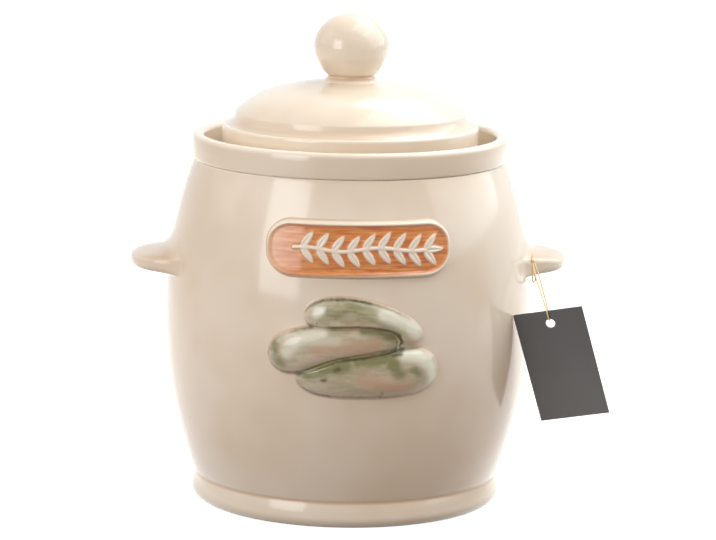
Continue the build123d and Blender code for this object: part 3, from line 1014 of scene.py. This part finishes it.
def cucumber_form(across, up, form):
    """Height of one mound over the unrolled barrel, and its distance inside its outline.

    Its middle line runs between two ends with a bow, and a few rounds find the point of it that
    lies nearest. Inwards from its outline the mound rises like a quarter of a circle, up to its relief.
    """
    (first, last), (low, high), bow, half_width, relief, fat = form
    scale = math.radians(1) * belly_radius
    start, length = first * scale, (last - first) * scale
    share = np.clip((across - start) / length, 0, 1)
    for _ in range(cucumber_rounds):
        middle = low + (high - low) * share + bow * 4 * share * (1 - share)
        slope = (high - low + bow * 4 * (1 - 2 * share)) / length
        along = (up - middle) * slope / (1 + slope**2) * cucumber_step_share
        share = np.clip((across - start + along) / length, 0, 1)
    middle = low + (high - low) * share + bow * 4 * share * (1 - share)
    aside = np.hypot(up - middle, across - start - share * length)
    stations, fatness = smooth_line(np.column_stack([station_shares, fat])).T
    width = np.interp(share, stations, fatness * half_width)
    inward = width - aside
    full = np.clip(inward / (half_width * cucumber_round_share), 0, 1)
    crest = np.clip(relief * width / half_width - cucumber_sink, 0, None)
    return crest * np.sqrt(1 - (1 - full) ** 2), inward


def brushed(across, up, marks):
    """Brush marks: each fades from its strength on its line to nought aside, and the strongest shows."""
    shown = np.zeros(across.shape)
    for width, strength, route in marks:
        for (left, low), (right, high) in zip(route, route[1:]):
            run, climb = right - left, high - low
            share = ((across - left) * run + (up - low) * climb) / (run**2 + climb**2)
            share = np.clip(share, 0, 1)
            gap = np.hypot(across - left - share * run, up - low - share * climb)
            shown = np.maximum(shown, strength * np.exp(-((gap / width) ** 2)))
    return shown


def cucumber_relief(paint):
    """Three mounds, each pressed into the ones before it, with their washes and brushed lines."""
    scale = math.radians(1) * belly_radius
    angles = np.linspace(*relief_turns, relief_steps[0])
    heights = relief_height + np.linspace(*relief_reach, relief_steps[1])
    across = np.broadcast_to(angles[:, None] * scale, (len(angles), len(heights)))
    up = np.broadcast_to(heights - relief_height, across.shape)
    step = (angles[1] - angles[0]) * scale, heights[1] - heights[0]
    rise = np.zeros(across.shape)
    rim = np.zeros(across.shape)
    for form in cucumbers.values():
        mound, inward = cucumber_form(across, up, form)
        over = inward > 0
        pressed = rise * cucumber_press_share * np.exp(-inward / cucumber_press_fade)
        rise = np.where(over, np.maximum(mound, pressed), rise)
        rim = np.maximum(np.where(over, 0, rim), np.exp(-((inward / brush_width) ** 2)))
    shown = soften((rise > 0).astype(float), relief_paint_softness, step)
    rise = soften(rise, relief_softness, step)
    lines = rim * (rim_share + brushed(across, up, outline_marks)) + brushed(across, up, spots)
    fields = {
        "wash": shown * (wash_share + brushed(across, up, green_marks) * green_share),
        "line": shown * np.clip(lines, 0, 1),
        "blush": shown * brushed(across, up, blush_marks),
        "white": shown * brushed(across, up, white_marks),
    }
    nodes = ["cucumber_upper", "cucumber_middle", "cucumber_lower"]
    return patch("cucumber_relief", nodes, angles, heights, rise, fields, paint)


# Lid


def dome_line(thickness):
    """The dome in section from its axis outwards, moved in by a thickness.

    The side arc ends at the dome's edge with its slope, and the crown arc touches it.
    """
    crown, side = dome_crown_radius - thickness, dome_side_radius - thickness
    end = math.radians(dome_edge_slope)
    side_place = dome_edge_radius - dome_side_radius * math.sin(end)
    side_height = brim_height + flare_rise - dome_side_radius * math.cos(end)
    spoke = dome_crown_radius - dome_side_radius
    slope = math.asin(side_place / spoke)
    crown_height = side_height - spoke * math.cos(slope)
    return np.vstack([
        arc_points((0, crown_height), crown, 90, 90 - math.degrees(slope)),
        arc_points((side_place, side_height), side, 90 - math.degrees(slope), 90 - dome_edge_slope),
    ])


def gas_notches(turn, height, radius):
    """Two notches in the skirt's foot, front and back: the foot is lifted in a soft-edged step."""
    across = np.abs(radius * np.sin(turn))
    half = (gas_notch_width + gas_notch_softness) / 2
    span = np.clip((half - across) / gas_notch_softness, 0, 1)
    return gas_notch_height * span * np.clip(1 - (height - skirt_bottom) / gas_notch_fade, 0, 1)


def lid(paint):
    """One shell: the dome, a hollow flare to the brim, and the skirt with its notches."""
    outer, inner = dome_line(0), dome_line(lid_wall)
    edge, brim = outer[-1], np.array([skirt_radius, brim_height])
    across = brim - edge
    hollow = edge + across / 2 - np.array([-across[1], across[0]]) * flare_hollow_share
    foot_round = lid_wall * skirt_round_share
    skirt = [(skirt_radius, skirt_bottom), (skirt_inner_radius, skirt_bottom)]
    corner = (skirt_inner_radius, brim_height - lid_corner_drop)
    side = rounded([hollow, brim, *skirt, corner], (brim_round, foot_round, foot_round))
    flare = arc_through(edge, hollow, brim)
    flare = flare[flare[:, 0] < side[1, 0]]
    outline = np.vstack([outer, flare, side[1:], inner[::-1]])
    profile = melted(outline, lid_softness, from_axis=True)
    return turned("glazed_lid", "lid_shell", profile, True, "lid", paint, gas_notches)


def knob(paint):
    """A ball, the upper half an ellipse, whose lower half curves in to a neck that flares out."""
    dome = dome_line(0)
    foot = knob_neck_radius + knob_flare
    seat = float(np.interp(foot, dome[:, 0], dome[:, 1]))
    neck = seat + knob_neck_rise
    belly = neck + knob_throat + knob_lower_depth * knob_lower_share
    turn = np.radians(np.linspace(90, 0, arc_steps))
    crown = np.column_stack([knob_radius * np.cos(turn), belly + knob_crown * np.sin(turn)])
    lower = smooth_line([
        (knob_radius, belly),
        (knob_radius * knob_side_share, belly - knob_lower_depth * knob_side_drop_share),
        (knob_radius * knob_lower_share, belly - knob_lower_depth * knob_lower_share),
        (knob_neck_radius, neck),
        (foot, seat),
    ])
    outline = np.vstack([crown, lower, [(foot, seat - knob_sunk), (0, seat - knob_sunk)]])
    profile = melted(outline, knob_softness, longest=2.0, turn=3.0, from_axis=True)
    return turned("glazed_knob", "lid_knob", profile, True, "lid", paint)


# Camera and studio


def camera_frame():
    """The camera's right, up and back directions: a level look, pitched down, rolled and turned."""
    pitch, roll = math.radians(camera_pitch), math.radians(camera_roll)
    ahead = np.array([0, math.cos(pitch), -math.sin(pitch)])
    right = np.array([1.0, 0, 0])
    up = np.cross(right, ahead)
    right, up = right * math.cos(roll) + up * math.sin(roll), up * math.cos(roll) - right * math.sin(roll)
    turn = np.array(Matrix.Rotation(math.radians(camera_turn), 3, "Z"))
    return turn @ np.column_stack([right, up, -ahead])


def camera():
    """The photograph's camera."""
    data = bpy.data.cameras.new("camera")
    data.lens = camera_lens
    data.sensor_width = sensor_width
    data.clip_end = camera_reach
    where = [value * millimetre for value in camera_place]
    bpy.context.scene.camera = placed("camera", data, camera_frame(), where)


def softbox(name, side, rise, size, glow, colour):
    """A lamp whose face glows evenly, placed by its angles from the camera's way."""
    data = bpy.data.lights.new(name, "AREA")
    data.shape = "RECTANGLE"
    data.size, data.size_y = size
    data.energy = glow * math.pi * size[0] * size[1]
    data.color = colour
    turn = math.radians(side) + math.atan2(camera_place[1], camera_place[0])
    up = math.radians(rise)
    way = np.array([math.cos(turn) * math.cos(up), math.sin(turn) * math.cos(up), math.sin(up)])
    right = np.cross([0, 0, 1.0], way)
    right /= np.linalg.norm(right)
    axes = np.column_stack([right, np.cross(way, right), way])
    placed(name, data, axes, np.array([0, 0, lamp_aim]) + way * lamp_distance)


def seen_plainly(paint):
    """One for the camera's rays and for those that glaze or glass sends on, nought for the rest."""
    share = 0
    for ray in ("Is Camera Ray", "Is Glossy Ray", "Is Transmission Ray"):
        share = paint.node("ShaderNodeLightPath", {}, {}, ray) + share
    return share.between(0, 1)


def world():
    """White where it is seen, and a plain warm fill for everything else."""
    paint = Paint(bpy.data.worlds.new("world"))
    colour = paint.mix(seen_plainly(paint), fill_light, (1.0, 1.0, 1.0, 1.0))
    lit = paint.node("ShaderNodeBackground", {}, {"Color": colour, "Strength": 1.0})
    paint.node("ShaderNodeOutputWorld", {}, {"Surface": lit})
    bpy.context.scene.world = paint.owner


def floor():
    """A pale floor: white where it is seen, with the crock's shadow, and duller to other light."""
    paint = Paint(bpy.data.materials.new("floor"))
    dull = paint.node("ShaderNodeBsdfDiffuse", {}, {"Color": tone(114, 95, 78)})
    pale = paint.node("ShaderNodeBsdfDiffuse", {}, {"Color": tone(200, 200, 200)})
    white = paint.node("ShaderNodeEmission", {}, {"Strength": floor_glow})
    lit = paint.node("ShaderNodeAddShader", {}, {0: pale, 1: white})
    both = paint.node("ShaderNodeMixShader", {}, {0: seen_plainly(paint), 1: dull, 2: lit})
    paint.node("ShaderNodeOutputMaterial", {}, {"Surface": both})
    mesh = bpy.data.meshes.new("floor")
    signs = ((-1, -1), (1, -1), (1, 1), (-1, 1))
    corners = [(across * floor_reach, along * floor_reach, 0) for across, along in signs]
    mesh.from_pydata(corners, [], [(0, 1, 2, 3)])
    mesh.materials.append(paint.owner)
    placed("floor", mesh)


bpy.context.scene.view_settings.view_transform = "Standard"
camera()
gold = gold_thread()
knot = thread_knot(gold)
ear_thread = thread("ear_thread", ear_thread_route, "crock", "ear_cord", gold)
tag_thread = thread("tag_thread", tag_thread_route, "tag", "tag_cord", gold)
card = frame["nodes"]["tag_card"]
for made, route, length, piece in (
    (ear_thread, ear_thread_route, ear_thread_length, knot),
    (tag_thread, tag_thread_route, tag_thread_length, card),
):
    [value * millimetre for value in route[0]]
    length * millimetre

cream_paint = cream_glaze()
crock_barrel(cream_paint)
water_collar(cream_paint)
mouth_neck(cream_paint)
ear("glazed_ear_left", -1, "ear_handle_left", cream_paint)
ear("glazed_ear_right", 1, "ear_handle_right", cream_paint)
label(label_glaze())
cucumber_relief(green_glaze())
lid(cream_paint)
knob(cream_paint)

stone_paint = stone_glaze()
paints = {"weight_stone_left": stone_paint, "weight_stone_right": stone_paint, "tag_card": card_paper()}
for node, paint in paints.items():
    mesh = frame["nodes"][node].data
    mesh.materials.clear()
    mesh.materials.append(paint)

for name, lamp in lamps.items():
    softbox(name, *lamp)
world()
floor()
